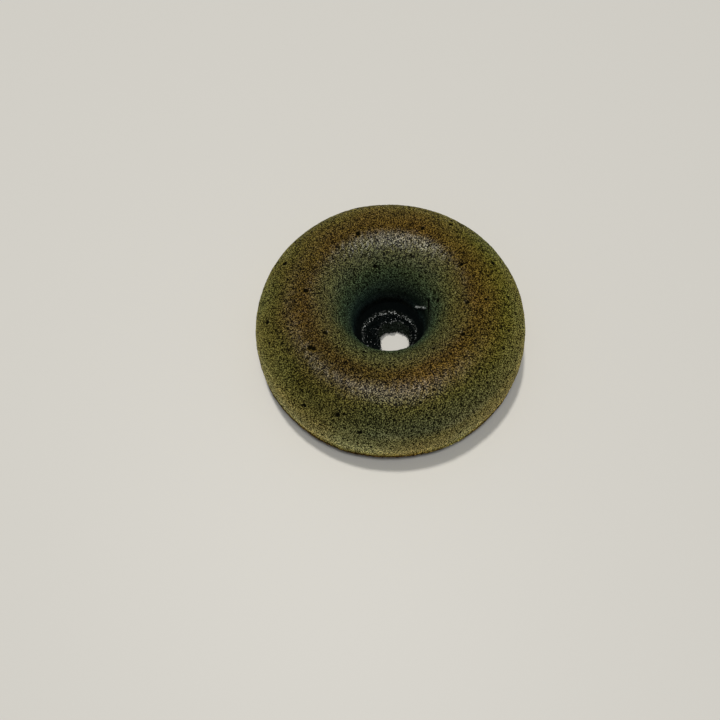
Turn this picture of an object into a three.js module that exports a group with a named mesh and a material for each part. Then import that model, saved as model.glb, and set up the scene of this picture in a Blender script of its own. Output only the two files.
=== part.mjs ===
// Ring doughnut baked in a rounded ring mould and turned out with the moulded side up.
// Units are millimetres, +Z is up. It rests on the ring of risen cake under its domed base.
// The closed skin is a grid: one section line walked all the way round the hole.
import * as THREE from "three";

// Overall size
const OUTER_RADIUS = 42.0;
const HEIGHT = 25.6;
const CROWN_RADIUS = 26.6;

// Outer flank, from the sharp baked rim up to the widest line
const RIM_RADIUS = 41.4;
const RIM_HEIGHT = 2.4;
const RIM_BEAD = 0.45;
const RIM_BEAD_HEIGHT = 1.2;
const WIDEST_HEIGHT = 8.0;
const OUTER_FULLNESS = 2.36;

// Funnel and the wall left by the mould's centre post
const NECK_RADIUS = 11.7;
const NECK_HEIGHT = 9.8;
const FUNNEL_FULLNESS = 1.95;
const FOOT_RADIUS = 11.1;
const FOOT_HEIGHT = 7.4;
const FOOT_FILLET = 0.9;

// Floor of cake left over the post's end: a ledge whose middle is torn right through.
// Its skin is torn away from the outer line inward, and the opening's edge is further in.
const LEDGE_TOP = 5.9;
const LEDGE_EDGE = 5.5;
const LEDGE_UNDERSIDE = 1.0;
const SKIN_LINE = { x: -0.2, y: -1.7, halfX: 8.4, halfY: 7.6, fullness: 2.0 };
const OPENING_LINE = { x: 1.55, y: -2.75, halfX: 4.95, halfY: 5.85, fullness: 3.2 };

// How far the opening's face leans in at its foot, on the far (+Y) side only
const OPENING_LEAN = 1.2;

// Ragged edge of the tear, as waves round it
const TEAR_WAVES = [
  { waves: 5, depth: 0.2, start: 0.7 },
  { waves: 9, depth: 0.14, start: 2.1 },
];

// Underside: a flat resting ring with the risen base curving up to the rim
const REST_INNER_RADIUS = 19.5;
const REST_OUTER_RADIUS = 34.0;
const BASE_CURVE = 1.7;
const UNDERSIDE_MIDDLE = { r: 15.3, z: 0.45 };

// How far the outline wanders from a true circle, as shares of the radius
const OUT_OF_ROUND = [
  { waves: 2, cosine: -0.0023, sine: 0.0005 },
  { waves: 3, cosine: 0.0016, sine: -0.0028 },
];

// Steps of the grid
const STEPS_ROUND = 72;
const STEPS_FLANK = 3;
const STEPS_OUTER = 9;
const STEPS_FUNNEL = 9;
const STEPS_POST = 2;
const STEPS_FILLET = 3;
const STEPS_TEAR = 3;
const STEPS_FACE = 2;
const STEPS_BASE = 4;

// A quarter of a superellipse from (rSide, zSide) up to (rTop, zTop), at share t of its turn.
function quarterArc(rSide, zSide, rTop, zTop, fullness, t) {
  const turn = t * Math.PI / 2;
  const power = 2 / fullness;
  const across = Math.pow(Math.max(Math.cos(turn), 0), power);
  const up = Math.pow(Math.sin(turn), power);
  return { r: rTop + (rSide - rTop) * across, z: zSide + (zTop - zSide) * up };
}

// Baked rim with its small bead, then the nearly upright flank to the widest line.
function flankStations() {
  const beadTop = RIM_HEIGHT + RIM_BEAD_HEIGHT;
  const stations = [
    { r: RIM_RADIUS, z: RIM_HEIGHT },
    { r: RIM_RADIUS + RIM_BEAD, z: RIM_HEIGHT + RIM_BEAD_HEIGHT / 2 },
  ];
  for (let i = 0; i < STEPS_FLANK; i += 1) {
    const t = i / STEPS_FLANK;
    const rise = beadTop + (WIDEST_HEIGHT - beadTop) * t;
    const bulge = (OUTER_RADIUS - RIM_RADIUS - RIM_BEAD / 2) * (1 - t) * (1 - t);
    stations.push({ r: OUTER_RADIUS - bulge, z: rise });
  }
  return stations;
}

// Moulded outside, from the widest line up and over to the crown.
function outerStations() {
  const stations = [];
  for (let i = 0; i < STEPS_OUTER; i += 1) {
    const t = i / STEPS_OUTER;
    stations.push(quarterArc(OUTER_RADIUS, WIDEST_HEIGHT, CROWN_RADIUS, HEIGHT, OUTER_FULLNESS, t));
  }
  return stations;
}

// Funnel, from the crown down into the hole as far as the neck.
function funnelStations() {
  const stations = [];
  for (let i = 0; i <= STEPS_FUNNEL; i += 1) {
    const t = 1 - i / STEPS_FUNNEL;
    stations.push(quarterArc(NECK_RADIUS, NECK_HEIGHT, CROWN_RADIUS, HEIGHT, FUNNEL_FULLNESS, t));
  }
  return stations;
}

// Straight tapering wall of the post, ending in a fillet on the ledge.
function postStations() {
  const stations = [];
  for (let i = 1; i <= STEPS_POST; i += 1) {
    const t = i / STEPS_POST;
    stations.push({
      r: NECK_RADIUS + (FOOT_RADIUS - NECK_RADIUS) * t,
      z: NECK_HEIGHT + (FOOT_HEIGHT - NECK_HEIGHT) * t,
    });
  }
  for (let i = 1; i <= STEPS_FILLET; i += 1) {
    const turn = (i / STEPS_FILLET) * (Math.PI / 2);
    stations.push({
      r: FOOT_RADIUS - FOOT_FILLET * (1 - Math.cos(turn)),
      z: FOOT_HEIGHT - (FOOT_HEIGHT - LEDGE_TOP) * Math.sin(turn),
    });
  }
  return stations;
}

// Radius of one line of the tear about its own centre: a superellipse with small ragged waves.
function tearRadius(edge, angle) {
  const c = Math.pow(Math.abs(Math.cos(angle)) / edge.halfX, edge.fullness);
  const s = Math.pow(Math.abs(Math.sin(angle)) / edge.halfY, edge.fullness);
  let radius = Math.pow(c + s, -1 / edge.fullness);
  for (const wave of TEAR_WAVES) {
    radius += wave.depth * Math.sin(wave.waves * angle + wave.start);
  }
  return radius;
}

// Torn top of the ledge, from the skin's line in to the opening, then the face down to the underside.
function tornStations() {
  const stations = [];
  for (let i = 0; i <= STEPS_TEAR; i += 1) {
    const t = i / STEPS_TEAR;
    stations.push({ tear: t, lean: 0, z: LEDGE_TOP + (LEDGE_EDGE - LEDGE_TOP) * t });
  }
  for (let i = 1; i <= STEPS_FACE; i += 1) {
    const t = i / STEPS_FACE;
    const z = LEDGE_EDGE + (LEDGE_UNDERSIDE - LEDGE_EDGE) * t;
    stations.push({ tear: 1, lean: OPENING_LEAN * t, z });
  }
  return stations;
}

// Underside, from the hole outward over the resting ring and up to the rim.
function baseStations() {
  const middle = (REST_INNER_RADIUS + REST_OUTER_RADIUS) / 2;
  const stations = [
    UNDERSIDE_MIDDLE,
    { r: REST_INNER_RADIUS, z: 0 },
    { r: middle, z: 0 },
    { r: REST_OUTER_RADIUS, z: 0 },
  ];
  const reach = RIM_RADIUS - REST_OUTER_RADIUS;
  for (let i = 1; i < STEPS_BASE; i += 1) {
    const t = i / STEPS_BASE;
    const lift = RIM_HEIGHT * Math.pow(t, BASE_CURVE);
    stations.push({ r: REST_OUTER_RADIUS + reach * t, z: lift });
  }
  return stations;
}

// Share by which the radius in direction `angle` departs from the round.
function roundness(angle) {
  let share = 1;
  for (const wave of OUT_OF_ROUND) {
    share += wave.cosine * Math.cos(wave.waves * angle) + wave.sine * Math.sin(wave.waves * angle);
  }
  return share;
}

// Point of one station in direction `angle`, on the ring or on the tear's own lines.
function stationPoint(station, angle) {
  if (station.tear === undefined) {
    const radius = station.r * roundness(angle);
    return [radius * Math.cos(angle), radius * Math.sin(angle), station.z];
  }
  const outer = tearRadius(SKIN_LINE, angle);
  const inner = tearRadius(OPENING_LINE, angle);
  const farSide = Math.max(Math.sin(angle), 0);
  const radius = outer + (inner - outer) * station.tear - station.lean * farSide * farSide;
  const x = SKIN_LINE.x + (OPENING_LINE.x - SKIN_LINE.x) * station.tear;
  const y = SKIN_LINE.y + (OPENING_LINE.y - SKIN_LINE.y) * station.tear;
  return [x + radius * Math.cos(angle), y + radius * Math.sin(angle), station.z];
}

// Closed grid of the whole skin, moved sideways so its box is centred on the origin.
function doughnutGeometry() {
  const stations = [
    ...flankStations(),
    ...outerStations(),
    ...funnelStations(),
    ...postStations(),
    ...tornStations(),
    ...baseStations(),
  ];
  const count = stations.length;
  const points = [];
  for (let j = 0; j < STEPS_ROUND; j += 1) {
    const angle = (2 * Math.PI * j) / STEPS_ROUND;
    for (const station of stations) {
      points.push(...stationPoint(station, angle));
    }
  }
  const faces = [];
  for (let j = 0; j < STEPS_ROUND; j += 1) {
    const next = (j + 1) % STEPS_ROUND;
    for (let i = 0; i < count; i += 1) {
      const above = (i + 1) % count;
      const a = j * count + i;
      const b = next * count + i;
      const c = next * count + above;
      const d = j * count + above;
      faces.push(a, b, c, a, c, d);
    }
  }
  const geometry = new THREE.BufferGeometry();
  geometry.setAttribute("position", new THREE.Float32BufferAttribute(points, 3));
  geometry.setIndex(faces);
  geometry.computeBoundingBox();
  const centre = geometry.boundingBox.getCenter(new THREE.Vector3());
  geometry.translate(-centre.x, -centre.y, 0);
  geometry.computeVertexNormals();
  return geometry;
}

const BROWNED_GREEN = 0x5b4f2a;
const crust = new THREE.MeshStandardMaterial({ color: BROWNED_GREEN, roughness: 0.8, metalness: 0.0 });

const doughnut = new THREE.Mesh(doughnutGeometry(), crust);
doughnut.name = "doughnut";

const group = new THREE.Group();
group.name = "ring_doughnut";
group.add(doughnut);

export default group;
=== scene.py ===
import math
import bpy
import numpy as np
from mathutils import Matrix, Vector


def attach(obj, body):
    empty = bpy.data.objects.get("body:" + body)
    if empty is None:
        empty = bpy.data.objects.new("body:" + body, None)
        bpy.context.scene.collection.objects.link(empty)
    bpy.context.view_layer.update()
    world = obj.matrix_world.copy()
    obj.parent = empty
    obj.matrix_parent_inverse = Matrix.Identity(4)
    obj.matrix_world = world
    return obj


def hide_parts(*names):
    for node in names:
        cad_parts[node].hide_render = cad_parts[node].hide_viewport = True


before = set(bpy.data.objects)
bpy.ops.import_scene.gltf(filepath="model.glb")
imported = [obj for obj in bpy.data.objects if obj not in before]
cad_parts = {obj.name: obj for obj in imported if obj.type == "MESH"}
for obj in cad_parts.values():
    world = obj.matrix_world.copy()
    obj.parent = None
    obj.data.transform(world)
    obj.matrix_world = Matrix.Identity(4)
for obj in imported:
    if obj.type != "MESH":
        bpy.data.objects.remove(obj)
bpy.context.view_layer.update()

# ---------------------------------------------------------------------------
# Camera
# A normal lens held above the near side, tipped well down and turned a little. Distances are in metres, and
# the two BASE values say where the middle of the base is seen, as shares of its distance.
CAMERA_ELEVATION = math.radians(62.613)
CAMERA_ROLL = math.radians(-3.567)
CAMERA_DISTANCE = 0.23507
BASE_RIGHT_OF_MIDDLE = 0.04047
BASE_ABOVE_MIDDLE = 0.02926
LENS_MM = 36.0
SENSOR_MM = 36.0
NEAREST_SEEN = 0.005
FARTHEST_SEEN = 50.0

turn = Matrix.Rotation(math.pi / 2 - CAMERA_ELEVATION, 4, "X") @ Matrix.Rotation(CAMERA_ROLL, 4, "Z")
toward_base = turn.to_3x3() @ Vector((BASE_RIGHT_OF_MIDDLE, BASE_ABOVE_MIDDLE, -1.0))
camera_data = bpy.data.cameras.new("camera")
camera_data.lens = LENS_MM
camera_data.sensor_width = SENSOR_MM
camera_data.clip_start = NEAREST_SEEN
camera_data.clip_end = FARTHEST_SEEN
camera = bpy.data.objects.new("camera", camera_data)
bpy.context.scene.collection.objects.link(camera)
camera.matrix_world = Matrix.Translation(-CAMERA_DISTANCE * toward_base) @ turn
bpy.context.scene.camera = camera

# ---------------------------------------------------------------------------
# The baked doughnut
# One closed ring of green tea cake, baked in a rounded mould and turned out. A section line is walked round
# the hole: from the resting ring out to the sharp baked rim, up the flank, over the crown, down the funnel
# and the wall left by the mould's post, over the torn ledge, down the face of its opening and back under.
# Sizes are in millimetres until the mesh is made.
OUTER_RADIUS = 42.0
HEIGHT = 25.6
CROWN_RADIUS = 26.6
RIM_RADIUS = 41.4
RIM_HEIGHT = 2.4
RIM_BEAD = 0.45
RIM_BEAD_HEIGHT = 1.2
WIDEST_HEIGHT = 8.0
OUTER_FULLNESS = 2.36
NECK_RADIUS = 11.7
NECK_HEIGHT = 9.8
FUNNEL_FULLNESS = 1.95
FOOT_RADIUS = 11.1
FOOT_HEIGHT = 7.4
FOOT_FILLET = 0.9
LEDGE_TOP = 5.9
LEDGE_EDGE = 5.5
LEDGE_UNDERSIDE = 1.0
SKIN_LINE = {"centre": (-0.2, -1.7), "half": (8.4, 7.6), "fullness": 2.0}
OPENING_LINE = {"centre": (1.55, -2.75), "half": (4.95, 5.85), "fullness": 3.2}
OPENING_LEAN = 1.2
REST_INNER_RADIUS = 19.5
REST_OUTER_RADIUS = 34.0
BASE_CURVE = 1.7
UNDERSIDE_CURVE = 1.3

# Ragged waves on the tear's lines: how many go round, their depth, and where they start.
TEAR_WAVES = ((5, 0.2, 0.7), (9, 0.14, 2.1))

# How far the outline leaves a true circle, as shares of the radius.
OVAL_WAVE = {"cosine": -0.0023, "sine": 0.0005}
THREE_SIDED_WAVE = {"cosine": 0.0016, "sine": -0.0028}

# Columns of the grid round the hole, points worked out on each stretch of the section before it is cut into
# rows, and the rough widths of the torn skin and of the ledge inside it, which only space the rows.
STEPS_ROUND = 520
STRETCH_POINTS = 400
TORN_SKIN_WIDTH = 2.0
TORN_LEDGE_WIDTH = 3.0


def quarter_arc(t, r_side, z_side, r_top, z_top, fullness):
    """Superellipse quarter: radius goes with cos(turn)^(2/fullness), height with sin(turn)^(2/fullness)."""
    across = np.cos(t * np.pi / 2).clip(0) ** (2 / fullness)
    up = np.sin(t * np.pi / 2) ** (2 / fullness)
    return r_top + (r_side - r_top) * across, z_side + (z_top - z_side) * up


def section_line():
    """Section of the ring, and the first row of each stretch by name.

    The section's five lines are radius, height, share of the tear's lines, share in to the opening, and lean.
    """
    rest_middle = (REST_INNER_RADIUS + REST_OUTER_RADIUS) / 2
    t = np.linspace(0, 1, STRETCH_POINTS)
    one = np.ones_like(t)
    none = np.zeros_like(t)
    rest_out_r = rest_middle + (REST_OUTER_RADIUS - rest_middle) * t
    base_r = REST_OUTER_RADIUS + (RIM_RADIUS - REST_OUTER_RADIUS) * t
    bead_top = RIM_HEIGHT + RIM_BEAD_HEIGHT
    bead = RIM_BEAD * np.sin(np.pi * t) ** 0.8 + (RIM_BEAD / 2) * t**3
    bulge = (OUTER_RADIUS - RIM_RADIUS - RIM_BEAD / 2) * (1 - t) ** 2
    flank_z = bead_top + (WIDEST_HEIGHT - bead_top) * t
    outer = quarter_arc(t, OUTER_RADIUS, WIDEST_HEIGHT, CROWN_RADIUS, HEIGHT, OUTER_FULLNESS)
    funnel = quarter_arc(1 - t, NECK_RADIUS, NECK_HEIGHT, CROWN_RADIUS, HEIGHT, FUNNEL_FULLNESS)
    post_r = NECK_RADIUS + (FOOT_RADIUS - NECK_RADIUS) * t
    post_z = NECK_HEIGHT + (FOOT_HEIGHT - NECK_HEIGHT) * t
    fillet_r = FOOT_RADIUS - FOOT_FILLET * (1 - np.cos(t * np.pi / 2))
    fillet_z = FOOT_HEIGHT - (FOOT_HEIGHT - LEDGE_TOP) * np.sin(t * np.pi / 2)
    ledge_r = FOOT_RADIUS - FOOT_FILLET
    torn_z = LEDGE_TOP + (LEDGE_EDGE - LEDGE_TOP) * t
    face_z = LEDGE_EDGE + (LEDGE_UNDERSIDE - LEDGE_EDGE) * t
    under_r = ledge_r + (REST_INNER_RADIUS - ledge_r) * t
    under_z = LEDGE_UNDERSIDE * (1 - t) ** UNDERSIDE_CURVE
    rest_in_r = REST_INNER_RADIUS + (rest_middle - REST_INNER_RADIUS) * t
    # Each stretch: radius, height, share of tear, share in to the opening, lean, and rows wanted on it.
    stretches = {
        "rest_out": (rest_out_r, none, none, none, none, 4),
        "base": (base_r, RIM_HEIGHT * t**BASE_CURVE, none, none, none, 11),
        "bead": (RIM_RADIUS + bead, RIM_HEIGHT + RIM_BEAD_HEIGHT * t, none, none, none, 7),
        "flank": (OUTER_RADIUS - bulge, flank_z, none, none, none, 10),
        "outer": (*outer, none, none, none, 50),
        "funnel": (*funnel, none, none, none, 50),
        "post": (post_r, post_z, none, none, none, 6),
        "fillet": (fillet_r, fillet_z, none, none, none, 5),
        "ledge": (ledge_r * one, LEDGE_TOP * one, t, none, none, 7),
        "torn": (ledge_r * one, torn_z, one, t, none, 14),
        "face": (ledge_r * one, face_z, one, one, OPENING_LEAN * t, 14),
        "under": (under_r, under_z, 1 - t, one, OPENING_LEAN * one, 9),
        "rest_in": (rest_in_r, none, none, one, none, 3),
    }
    line = []
    first_row = {}
    row_total = 0
    for name, (*part, count) in stretches.items():
        part = np.array(part)
        run = part[0] - part[2] * TORN_SKIN_WIDTH - part[3] * TORN_LEDGE_WIDTH
        walk = np.concatenate([[0], np.cumsum(np.hypot(np.diff(run), np.diff(part[1])))])
        at = np.linspace(0, walk[-1], count + 1)[:-1]
        line.append(np.array([np.interp(at, walk, values) for values in part]))
        first_row[name] = row_total
        row_total += count
    return np.concatenate(line, axis=1), first_row


def tear_radius(edge, angle):
    """Radius of one line of the tear about its own centre: a superellipse with small ragged waves added."""
    across = (np.abs(np.cos(angle)) / edge["half"][0]) ** edge["fullness"]
    along = (np.abs(np.sin(angle)) / edge["half"][1]) ** edge["fullness"]
    ragged = sum(depth * np.sin(count * angle + start) for count, depth, start in TEAR_WAVES)
    return (across + along) ** (-1 / edge["fullness"]) + ragged


def roundness(angle):
    """Radius as a share of a true circle's: one, plus a small oval wave and a small three-sided wave."""
    oval = OVAL_WAVE["cosine"] * np.cos(2 * angle) + OVAL_WAVE["sine"] * np.sin(2 * angle)
    three_sided = THREE_SIDED_WAVE["cosine"] * np.cos(3 * angle)
    three_sided = three_sided + THREE_SIDED_WAVE["sine"] * np.sin(3 * angle)
    return 1 + oval + three_sided


def wave_noise(points, wavelength, seed, count=48):
    """Even noise of about unit size: plane waves of about one wavelength, summed, in seeded directions."""
    rng = np.random.default_rng(seed)
    direction = rng.normal(size=(count, 3))
    direction *= (2 * np.pi / wavelength / np.linalg.norm(direction, axis=1))[:, None]
    direction *= rng.uniform(0.75, 1.3, size=(count, 1))
    phase = rng.uniform(0, 2 * np.pi, size=count)
    total = np.zeros(len(points))
    for vector, start in zip(direction, phase):
        total += np.cos(points @ vector + start)
    return total * math.sqrt(2 / count)


def smooth_step(x, low, high):
    """0 below low, 1 above high, with a smooth rise between."""
    t = ((x - low) / (high - low)).clip(0, 1)
    return t * t * (3 - 2 * t)


def band_between(x, start, full, fading, gone):
    """1 from full to fading, falling smoothly to 0 at start and at gone."""
    return smooth_step(x, start, full) * (1 - smooth_step(x, fading, gone))


line, first_row = section_line()
angle = 2 * np.pi * np.arange(STEPS_ROUND) / STEPS_ROUND
row_r, row_z, row_tear, row_inward, row_lean = line[:, None, :]
theta = angle[:, None]
tear_r = tear_radius(SKIN_LINE, theta) * (1 - row_inward) + tear_radius(OPENING_LINE, theta) * row_inward
# The face of the opening leans in at its foot on the far side only.
tear_r = tear_r - row_lean * np.sin(theta).clip(0) ** 2
skin_x, skin_y = SKIN_LINE["centre"]
opening_x, opening_y = OPENING_LINE["centre"]
tear_x = skin_x * (1 - row_inward) + opening_x * row_inward + tear_r * np.cos(theta)
tear_y = skin_y * (1 - row_inward) + opening_y * row_inward + tear_r * np.sin(theta)
ring_r = row_r * roundness(theta)
x = ring_r * np.cos(theta) * (1 - row_tear) + tear_x * row_tear
y = ring_r * np.sin(theta) * (1 - row_tear) + tear_y * row_tear
z = np.broadcast_to(row_z, x.shape)
grid = np.stack([x, y, z], axis=-1)

# How far along the moulded skin each row lies: 0 at the rim, 1 where the skin meets the ledge.
skin_first, skin_last = first_row["bead"], first_row["ledge"]
row_walk = np.concatenate([[0], np.cumsum(np.hypot(np.diff(line[0]), np.diff(line[1])))])
skin_length = row_walk[skin_last] - row_walk[skin_first]
skin_share = (row_walk - row_walk[skin_first]) / skin_length
share = skin_share + 0 * theta

# Which finish each row has, with a soft change of a few rows from one to the next.
rows = np.arange(line.shape[1])
torn, face, under = first_row["torn"], first_row["face"], first_row["under"]
on_ledge = band_between(rows, first_row["fillet"], skin_last, torn - 3, torn)
on_torn = band_between(rows, torn - 2, torn + 1, under, under + 3)
on_face = band_between(rows, face, face + 2, under, under + 2)
on_base = 1 - smooth_step(rows, first_row["base"] + 8, skin_first) + smooth_step(rows, under, under + 3)
on_skin = (1 - on_ledge) * (1 - on_torn) * (1 - on_base.clip(0, 1))
flat_rest = (line[1] <= 1e-9) & (line[2] <= 1e-9)


def grid_normals(points):
    """Outward normals of the closed grid, from the cross product of its two wrapped differences."""
    around = np.roll(points, -1, 0) - np.roll(points, 1, 0)
    along = np.roll(points, -1, 1) - np.roll(points, 1, 1)
    normal = np.cross(around, along)
    return normal / np.linalg.norm(normal, axis=-1, keepdims=True)


# Waves laid over the surface: each wavelength with its seed, then the height of each one used on the skin.
WAVE_SEEDS = {26.0: 3, 9.0: 5, 3.2: 7, 1.6: 11, 1.1: 23, 2.4: 13, 0.9: 17, 0.5: 19}
SKIN_WAVES = {26.0: 0.07, 9.0: 0.02, 3.2: 0.02, 1.6: 0.022, 1.1: 0.028}
normals = grid_normals(grid)
points = grid.reshape(-1, 3)
wave = {size: wave_noise(points, size, seed).reshape(x.shape) for size, seed in WAVE_SEEDS.items()}
lift = on_skin * sum(height * wave[size] for size, height in SKIN_WAVES.items())

# Faint level ridges on the flank just above the rim, where the batter met the top of the mould.
RIDGE_SPACING = 1.15
RIDGE_HEIGHT = 0.07
RIDGE_SIDE = 3.9
ridge = np.sin(2 * np.pi * z / RIDGE_SPACING + 1.3 * wave[9.0] + 2 * np.sin(2 * theta))
ridge_band = band_between(share, 0.02, 0.035, 0.09, 0.13)
lift = lift + ridge_band * RIDGE_HEIGHT * ridge * (0.55 + 0.45 * np.cos(theta - RIDGE_SIDE))


def side_toward(direction):
    """Root of the cosine of the angle from a direction in degrees, and 0 on the opposite half."""
    return np.cos(theta - math.radians(direction)).clip(0) ** 0.5


# Torn ledge: lumps of several sizes, and a ragged lip along the skin's line and round the opening.
LIP_ROWS = 1.2
LIP_HEIGHT = 0.45
OUTER_LIP_SIDE = 80
INNER_LIP_SIDE = 35
lumps = 0.28 * np.abs(wave[2.4]) + 0.17 * wave[0.9] + 0.10 * wave[0.5] - 0.30
outer_lip = np.exp(-(((rows - torn) / LIP_ROWS) ** 2)) * (0.45 + 0.55 * side_toward(OUTER_LIP_SIDE))
inner_lip = np.exp(-(((rows - face + 1) / LIP_ROWS) ** 2)) * (0.3 + 0.7 * side_toward(INNER_LIP_SIDE))
lip = outer_lip + inner_lip
lift = lift + on_torn * lumps + 0.03 * on_ledge * (wave[2.4] + wave[0.9])
lift = lift + LIP_HEIGHT * lip * smooth_step(wave[0.9] + 0.6 * wave[2.4], -0.8, 1.4)

# The risen base is a little uneven between the rim and the resting ring.
base = on_base.clip(0, 1) + 0 * theta
lift = lift + base * (0.1 * wave[9.0] + 0.06 * wave[2.4])


def column_toward(direction):
    """Column of the grid nearest to a direction in degrees."""
    return int(round(direction / 360 * STEPS_ROUND)) % STEPS_ROUND


def skin_point(direction, height):
    """Point on the inner wall in a direction (degrees): the grid point there that is nearest to a height."""
    inner = np.arange(first_row["funnel"], skin_last)
    return grid[column_toward(direction), inner[np.abs(line[1, inner] - height).argmin()]]


def gap_to_path(points):
    """Distance of every grid point from a path of straight legs between the given points."""
    nearest = np.full(x.shape, np.inf)
    for start, end in zip(points[:-1], points[1:]):
        leg = end - start
        along = (((grid - start) @ leg) / (leg @ leg)).clip(0, 1)
        nearest = np.minimum(nearest, np.linalg.norm(grid - start - along[..., None] * leg, axis=-1))
    return nearest


# A slanting scar on the post wall, where a strip of skin stuck to the post and tore, with a cleft above its
# top. Each point of a path is a direction in degrees and a height.
SCAR_PATH = ((35, 8.2), (26, 9.9), (15, 12.9))
CLEFT_PATH = ((17, 15.8), (10, 14.2), (2, 12.8))
CLEFT_DEPTH = 0.75
scar = 1 - smooth_step(gap_to_path([skin_point(*place) for place in SCAR_PATH]), 0.2, 0.6)
cleft = 1 - smooth_step(gap_to_path([skin_point(*place) for place in CLEFT_PATH]), 0.2, 0.8)
lift = lift + scar * (0.32 + 0.16 * wave[0.9] + 0.1 * wave[0.5]) - CLEFT_DEPTH * cleft

# The larger pores, each a small round pit, scattered evenly over most of the skin by a seeded draw. Each pit
# also gets painted shade: a darkness strongest at its middle, which the material paints near black.
PORE_COUNT = 28
PORE_SEED = 31
PORE_SHARES = (0.10, 0.78)
PORE_RADII = (0.42, 0.72)
PORE_DEPTH = 1.2
PORE_SHADE_DARKEST = 1.6
pore_draw = np.random.default_rng(PORE_SEED)
pore_directions = pore_draw.uniform(0, 360, PORE_COUNT)
pore_shares = pore_draw.uniform(*PORE_SHARES, PORE_COUNT)
pore_radii = pore_draw.uniform(*PORE_RADII, PORE_COUNT)
pit_shade = np.zeros(x.shape)
for direction, along, radius in zip(pore_directions, pore_shares, pore_radii):
    row = np.abs(skin_share[skin_first:skin_last] - along).argmin() + skin_first
    gap = np.linalg.norm(grid - grid[column_toward(direction), row], axis=-1)
    pit_shade = np.maximum(pit_shade, (PORE_SHADE_DARKEST - gap / radius).clip(0, PORE_SHADE_DARKEST))
    lift = lift - radius * PORE_DEPTH * (1 - smooth_step(gap, radius * 0.3, radius * 1.3))

# The resting ring stays flat on the table, and nothing else touches it or stands much above the crown.
LEAST_CLEARANCE = 0.02
CROWN_ALLOWANCE = 0.3
lift = np.where(flat_rest, 0, lift)
grid = grid + normals * lift[..., None]
grid[..., 2] = np.where(flat_rest, 0, grid[..., 2].clip(LEAST_CLEARANCE, HEIGHT + CROWN_ALLOWANCE))

# The mesh, in metres, centred on the origin.
corner = grid.reshape(-1, 3)
middle = (corner.min(0) + corner.max(0)) / 2
corner = (corner - [middle[0], middle[1], 0]) / 1000
columns, row_count = x.shape
j, i = np.meshgrid(np.arange(columns), np.arange(row_count), indexing="ij")
here = j * row_count
there = ((j + 1) % columns) * row_count
i_next = (i + 1) % row_count
quads = np.stack([here + i, there + i, there + i_next, here + i_next], -1)
mesh = bpy.data.meshes.new("baked_doughnut")
mesh.from_pydata(corner.tolist(), [], quads.reshape(-1, 4).tolist())
mesh.polygons.foreach_set("use_smooth", np.ones(len(mesh.polygons), bool))

# Unrolled map in two strips, one above the other: each is half way round the hole across, the section up.
STRIP_FILL = 0.99
STRIP_MARGIN = 0.005
half_round = columns // 2
strip, step_in_strip = np.divmod(j, half_round)
first_section = corner.reshape(columns, row_count, 3)[0]
walk = np.linalg.norm(np.diff(first_section, axis=0, append=corner[None, 0]), axis=1)
walk = np.concatenate([[0], np.cumsum(walk)]) / walk.sum()
u = np.stack([step_in_strip, step_in_strip + 1, step_in_strip + 1, step_in_strip], -1) / half_round
v = (strip[..., None] + STRIP_FILL * np.stack([walk[i], walk[i], walk[i + 1], walk[i + 1]], -1)) / 2
unrolled = np.stack([STRIP_MARGIN + STRIP_FILL * u, v], -1)
mesh.uv_layers.new(name="OFBake").data.foreach_set("uv", unrolled.ravel())


def keep(name, values):
    """Stores one number per point on the mesh for the material to read."""
    stored = np.broadcast_to(values, x.shape).astype(np.float32)
    mesh.attributes.new(name, "FLOAT", "POINT").data.foreach_set("value", stored.ravel())


def bell_toward(direction, width):
    """Bell round the ring, exp(-(angle / width)^2): 1 in a direction, with both given in degrees."""
    return np.exp(-((theta - math.radians(direction)) / math.radians(width)) ** 2)


keep("skin_share", share)
# The pores' pits and the cleft carry painted shade: the material paints them near black.
keep("pore", np.maximum(pit_shade, 1.5 * cleft))
keep("torn_crumb", on_torn)
keep("ledge", on_ledge)
keep("face", on_face)
keep("lip", lip)
keep("base", base)

# Painted light and shade by side: paler or darker by side in four bands of the skin and on the far flank, as
# the lamps light it. Also greener and bluer on the near shoulder, and less greasy on the right and at the
# near left.
flank_band = band_between(share, 0.12, 0.20, 0.32, 0.42)
wall_band = band_between(share, 0.80, 0.86, 0.93, 0.97)
upper_band = band_between(share, 0.26, 0.34, 0.55, 0.62)
rim_band = band_between(share, 0.04, 0.08, 0.16, 0.22)
far_flank = band_between(share, 0.25, 0.30, 0.38, 0.45) * np.sin(theta).clip(0)
near_left = bell_toward(228, 28)
side_to_side = (0.12 * upper_band - 0.55 * wall_band) * np.cos(theta)
painted_side_patches = 0.32 * np.cos(2 * theta) * flank_band + 0.3 * far_flank + 0.18 * near_left * (rim_band - upper_band)
keep("painted_side_light", 1 + painted_side_patches + side_to_side)
keep("greenness", band_between(share, 0.20, 0.27, 0.42, 0.50) * bell_toward(285, 38))
keep("film_side", 1 - 0.7 * smooth_step(np.cos(theta), 0.6, 1.0) - 0.35 * near_left)
keep("scar", scar)
baked_doughnut = bpy.data.objects.new("baked_doughnut", mesh)
bpy.context.scene.collection.objects.link(baked_doughnut)

# The crumb's grains and the cells that may each hold one small pore, counted along a millimetre, the relief's
# height in metres, and the greasy film.
GRAINS_PER_MM = 5.5
SMALL_PORE_CELLS_PER_MM = 0.50
GRAIN_RELIEF = 0.00016
RELIEF_STRENGTH = 0.9
CAKE_IOR = 1.45
CAKE_SPECULAR = 0.02
FILM_IOR = 1.80
FILM_ROUGHNESS = 0.38
MM_PER_METRE = 1000


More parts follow.
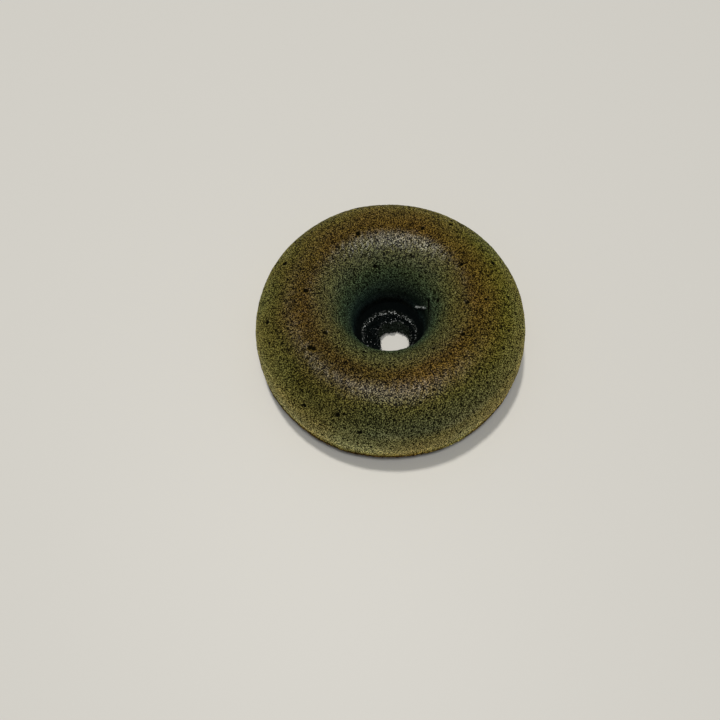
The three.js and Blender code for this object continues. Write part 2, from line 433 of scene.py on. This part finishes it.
def cake_material():
    """Browned green cake: colour by place along the skin, speckled crumb, pores with painted shade, moist
    torn crumb with painted glints.
    """
    material = bpy.data.materials.new("baked_green_cake")
    material.use_nodes = True
    tree = material.node_tree
    tree.nodes.clear()
    link = tree.links.new

    def fill(socket, value):
        """Links a socket, or sets it to a number or colour."""
        if isinstance(value, bpy.types.NodeSocket):
            link(value, socket)
        elif isinstance(value, tuple) and len(socket.default_value) == 4:
            socket.default_value = (*value, 1.0)
        else:
            socket.default_value = value

    def sum_of(operation, a, b, clamp=False):
        """Result of one Math node on two values, clamped to 0 to 1 if asked."""
        made = tree.nodes.new("ShaderNodeMath")
        made.operation = operation
        made.use_clamp = clamp
        fill(made.inputs[0], a)
        fill(made.inputs[1], b)
        return made.outputs[0]

    def attribute(name):
        """One of the numbers kept on the mesh."""
        made = tree.nodes.new("ShaderNodeAttribute")
        made.attribute_name = name
        return made.outputs["Fac"]

    def noise(place, scale, detail, rough=0.5):
        """Smooth random noise around 0.5, at a scale per millimetre."""
        made = tree.nodes.new("ShaderNodeTexNoise")
        made.inputs["Scale"].default_value = scale
        made.inputs["Detail"].default_value = detail
        made.inputs["Roughness"].default_value = rough
        link(place, made.inputs["Vector"])
        return made

    def ramp(factor, stops):
        """Straight blends between stops, each a position with a colour or a grey."""
        made = tree.nodes.new("ShaderNodeValToRGB")
        elements = made.color_ramp.elements
        while len(elements) < len(stops):
            elements.new(0.5)
        for element, (position, colour) in zip(elements, stops):
            element.position = position
            element.color = (*colour, 1.0) if isinstance(colour, tuple) else (colour, colour, colour, 1.0)
        link(factor, made.inputs[0])
        return made.outputs[0]

    def mix(factor, a, b, blend="MIX"):
        """Two colours blended by a factor. The colour sockets of a Mix node are 6, 7 and, going out, 2."""
        made = tree.nodes.new("ShaderNodeMix")
        made.data_type = "RGBA"
        made.blend_type = blend
        fill(made.inputs[0], factor)
        fill(made.inputs[6], a)
        fill(made.inputs[7], b)
        return made.outputs[2]

    def rise_of(value, low, high):
        """0 below low, 1 above high, with a smooth rise between."""
        made = tree.nodes.new("ShaderNodeMapRange")
        made.interpolation_type = "SMOOTHSTEP"
        made.inputs["From Min"].default_value = low
        made.inputs["From Max"].default_value = high
        link(value, made.inputs["Value"])
        return made.outputs["Result"]

    coordinates = tree.nodes.new("ShaderNodeTexCoord")
    mapping = tree.nodes.new("ShaderNodeMapping")
    mapping.inputs["Scale"].default_value = (MM_PER_METRE, MM_PER_METRE, MM_PER_METRE)
    link(coordinates.outputs["Object"], mapping.inputs["Vector"])
    millimetres = mapping.outputs["Vector"]

    # Colour by place along the skin, from the tan flank to the dark wall of the hole, drifting in patches.
    share_along = attribute("skin_share")
    drift = sum_of("SUBTRACT", noise(millimetres, 0.07, 2.0).outputs["Fac"], 0.5)
    patch = sum_of("SUBTRACT", noise(millimetres, 0.45, 3.0, 0.6).outputs["Fac"], 0.5)
    place = sum_of("ADD", share_along, sum_of("MULTIPLY", drift, 0.09))
    place = sum_of("ADD", place, sum_of("MULTIPLY", patch, 0.05))
    skin = ramp(place, (
        (0.000, (0.040, 0.020, 0.005)),
        (0.020, (0.070, 0.039, 0.010)),
        (0.045, (0.251, 0.211, 0.060)),
        (0.085, (0.286, 0.258, 0.118)),
        (0.150, (0.184, 0.168, 0.072)),
        (0.205, (0.176, 0.163, 0.064)),
        (0.260, (0.088, 0.084, 0.026)),
        (0.325, (0.064, 0.061, 0.016)),
        (0.395, (0.051, 0.044, 0.005)),
        (0.460, (0.050, 0.034, 0.003)),
        (0.515, (0.047, 0.028, 0.003)),
        (0.565, (0.041, 0.024, 0.003)),
        (0.615, (0.047, 0.038, 0.007)),
        (0.665, (0.050, 0.048, 0.013)),
        (0.715, (0.038, 0.044, 0.018)),
        (0.765, (0.027, 0.041, 0.023)),
        (0.810, (0.022, 0.038, 0.024)),
        (0.860, (0.027, 0.047, 0.035)),
        (0.910, (0.025, 0.044, 0.033)),
        (0.960, (0.012, 0.020, 0.021)),
        (1.000, (0.002, 0.003, 0.003)),
    ))
    tint = noise(millimetres, 0.045, 2.0).outputs["Fac"]
    tinted = ramp(tint, ((0.35, (0.94, 1.03, 1.12)), (0.65, (1.08, 0.98, 0.86))))
    skin = mix(1.0, skin, tinted, "MULTIPLY")
    # The painted light and shade by side is multiplied into the skin colour.
    skin = mix(1.0, skin, attribute("painted_side_light"), "MULTIPLY")
    skin = mix(attribute("greenness"), skin, mix(1.0, skin, (0.97, 1.08, 1.75), "MULTIPLY"))

    # Crumb: irregular grains about a fifth of a millimetre wide, dark, middling and pale, with dark gaps.
    warp = noise(millimetres, 2.4, 2.0).outputs["Color"]
    warped = tree.nodes.new("ShaderNodeVectorMath")
    warped.operation = "MULTIPLY_ADD"
    fill(warped.inputs[0], warp)
    fill(warped.inputs[1], (0.18, 0.18, 0.18))
    link(millimetres, warped.inputs[2])
    grains = tree.nodes.new("ShaderNodeTexVoronoi")
    grains.inputs["Scale"].default_value = GRAINS_PER_MM
    link(warped.outputs[0], grains.inputs["Vector"])
    chance = tree.nodes.new("ShaderNodeSeparateColor")
    link(grains.outputs["Color"], chance.inputs[0])
    tone = ramp(chance.outputs[0], ((0.0, 0.0), (0.50, 0.0), (0.66, 0.30), (0.80, 0.65), (0.92, 1.0)))
    gaps = rise_of(grains.outputs["Distance"], 0.35, 0.75)
    fine = noise(millimetres, 4.5, 2.0, 0.6).outputs["Fac"]
    tone = sum_of("SUBTRACT", tone, sum_of("MULTIPLY", gaps, 0.22))
    tone = sum_of("ADD", tone, sum_of("MULTIPLY", sum_of("SUBTRACT", fine, 0.5), 0.6), clamp=True)
    dark_grain = mix(1.0, skin, (0.07, 0.06, 0.01), "MULTIPLY")
    pale_grain = mix(1.0, mix(1.0, skin, (5.9, 5.8, 5.1), "MULTIPLY"), (0.044, 0.043, 0.018), "ADD")
    in_hole = rise_of(share_along, 0.80, 0.93)
    speckled = mix(tone, dark_grain, pale_grain)
    colour = mix(in_hole, speckled, mix(0.35, skin, speckled))

    # Pores: the larger ones from the mesh, and small ones scattered by a chance of their own, painted near
    # black as painted shade in their pits.
    small_pores = tree.nodes.new("ShaderNodeTexVoronoi")
    small_pores.inputs["Scale"].default_value = SMALL_PORE_CELLS_PER_MM
    link(warped.outputs[0], small_pores.inputs["Vector"])
    pore_chance = tree.nodes.new("ShaderNodeSeparateColor")
    link(small_pores.outputs["Color"], pore_chance.inputs[0])
    pore_size = sum_of("MULTIPLY", rise_of(pore_chance.outputs[0], 0.30, 1.0), 0.25)
    small_pore = rise_of(sum_of("SUBTRACT", pore_size, small_pores.outputs["Distance"]), 0.0, 0.035)
    pore_edge = sum_of("ADD", attribute("pore"), sum_of("MULTIPLY", sum_of("SUBTRACT", fine, 0.5), 0.5))
    pore = sum_of("MAXIMUM", rise_of(pore_edge, 0.40, 0.62), sum_of("MULTIPLY", small_pore, 0.92))
    colour = mix(sum_of("MULTIPLY", pore, 0.96), colour, (0.003, 0.003, 0.001))

    # Torn crumb, ledge, painted glints on the lips, the scar and the torn crumb, and browned base.
    torn = attribute("torn_crumb")
    scar_here = attribute("scar")
    lumps = noise(millimetres, 1.3, 4.0, 0.7).outputs["Fac"]
    crumb = ramp(lumps, (
        (0.40, (0.001, 0.002, 0.002)),
        (0.62, (0.004, 0.006, 0.006)),
        (0.75, (0.014, 0.018, 0.018)),
    ))
    colour = mix(torn, colour, crumb)
    colour = mix(attribute("face"), colour, (0.032, 0.042, 0.032))
    colour = mix(attribute("ledge"), colour, (0.001, 0.002, 0.002))
    # Painted glints: near-white flecks along the torn lips, on the scar and here and there on the torn crumb,
    # where wet crumb catches the light.
    bits = noise(millimetres, 1.9, 2.0, 0.6).outputs["Fac"]
    painted_glints = sum_of("MULTIPLY", attribute("lip"), rise_of(bits, 0.57, 0.63))
    painted_glints = sum_of("MAXIMUM", painted_glints, sum_of("MULTIPLY", scar_here, rise_of(bits, 0.44, 0.54)))
    painted_glints = sum_of("MAXIMUM", painted_glints, sum_of("MULTIPLY", torn, rise_of(bits, 0.68, 0.74)))
    colour = mix(painted_glints, colour, (0.80, 0.84, 0.82))
    browned = ramp(lumps, ((0.3, (0.050, 0.026, 0.008)), (0.7, (0.105, 0.062, 0.020))))
    colour = mix(attribute("base"), colour, browned)

    # Gloss: a dry browned crown, moist torn crumb and painted glints, and a greasy film on the shoulder and
    # the inner slope, thickest on their pale grains.
    moist = sum_of("MAXIMUM", torn, attribute("ledge"))
    roughness = sum_of("SUBTRACT", 0.72, sum_of("MULTIPLY", moist, 0.20), clamp=True)
    greasy = ramp(share_along, (
        (0.32, 0.02),
        (0.40, 0.36),
        (0.47, 0.36),
        (0.51, 0.10),
        (0.54, 0.04),
        (0.57, 0.12),
        (0.61, 0.55),
        (0.65, 1.0),
        (0.70, 1.0),
        (0.76, 0.0),
    ))
    film = sum_of("MULTIPLY", sum_of("ADD", sum_of("MULTIPLY", tone, 1.9), 0.1), greasy)
    film = sum_of("MULTIPLY", film, attribute("film_side"))
    film = sum_of("MULTIPLY", film, sum_of("SUBTRACT", 1.0, pore))
    film = sum_of("MAXIMUM", film, sum_of("MULTIPLY", painted_glints, 0.8), clamp=True)

    # Relief: each grain a low dome of its own height, with finer dimples over it.
    dome = sum_of("MULTIPLY", sum_of("SUBTRACT", 0.7, grains.outputs["Distance"]), chance.outputs[1])
    height = sum_of("ADD", dome, sum_of("MULTIPLY", fine, 0.8))
    height = sum_of("SUBTRACT", height, sum_of("MULTIPLY", pore, 1.6))
    relief = tree.nodes.new("ShaderNodeBump")
    relief.inputs["Strength"].default_value = RELIEF_STRENGTH
    relief.inputs["Distance"].default_value = GRAIN_RELIEF
    link(height, relief.inputs["Height"])

    shader = tree.nodes.new("ShaderNodeBsdfPrincipled")
    shader.inputs["Specular IOR Level"].default_value = CAKE_SPECULAR
    shader.inputs["IOR"].default_value = CAKE_IOR
    shader.inputs["Coat Roughness"].default_value = FILM_ROUGHNESS
    shader.inputs["Coat IOR"].default_value = FILM_IOR
    link(film, shader.inputs["Coat Weight"])
    link(colour, shader.inputs["Base Color"])
    link(roughness, shader.inputs["Roughness"])
    link(relief.outputs["Normal"], shader.inputs["Normal"])
    output = tree.nodes.new("ShaderNodeOutputMaterial")
    link(shader.outputs["BSDF"], output.inputs["Surface"])
    return material


mesh.materials.append(cake_material())
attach(baked_doughnut, "root")
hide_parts("doughnut")

# ---------------------------------------------------------------------------
# Table and light
# A plain pale table, a small warm lamp high behind the doughnut and to its left, a broad soft lamp overhead
# and a little nearer, and a pale room. Lengths are in metres.
TABLE_REACH = 6.0
TABLE_COLOUR = (0.70, 0.69, 0.65, 1)
TABLE_ROUGHNESS = 0.55
ROOM_COLOUR = (0.93, 0.96, 1.0, 1)
ROOM_STRENGTH = 0.21

floor_mesh = bpy.data.meshes.new("table_top")
corner_signs = ((-1, -1), (1, -1), (1, 1), (-1, 1))
floor_corners = [(TABLE_REACH * side, TABLE_REACH * depth, 0) for side, depth in corner_signs]
floor_mesh.from_pydata(floor_corners, [], [(0, 1, 2, 3)])
floor = bpy.data.objects.new("table_top", floor_mesh)
bpy.context.scene.collection.objects.link(floor)
floor_material = bpy.data.materials.new("pale_table")
floor_material.use_nodes = True
floor_shader = floor_material.node_tree.nodes["Principled BSDF"]
floor_shader.inputs["Base Color"].default_value = TABLE_COLOUR
floor_shader.inputs["Roughness"].default_value = TABLE_ROUGHNESS
floor_mesh.materials.append(floor_material)

world = bpy.data.worlds.new("pale_room")
world.use_nodes = True
background = world.node_tree.nodes["Background"]
background.inputs["Color"].default_value = ROOM_COLOUR
background.inputs["Strength"].default_value = ROOM_STRENGTH
bpy.context.scene.world = world


def soft_light(name, place, size, power, colour):
    """A square area light at a place, facing the middle of the base, in metres and watts."""
    data = bpy.data.lights.new(name, "AREA")
    data.size = size
    data.energy = power
    data.color = colour
    light = bpy.data.objects.new(name, data)
    bpy.context.scene.collection.objects.link(light)
    light.location = place
    light.rotation_euler = (-Vector(place)).to_track_quat("-Z", "Y").to_euler()
    light.visible_camera = False


soft_light("key_light", place=(-0.195, 0.535, 2.2), size=0.16, power=24.0, colour=(1.0, 0.96, 0.90))
soft_light("top_light", place=(0.04, -0.36, 2.2), size=0.55, power=13.5, colour=(1.0, 0.98, 0.95))

bpy.context.scene.view_settings.view_transform = "Standard"
bpy.context.scene.view_settings.look = "None"
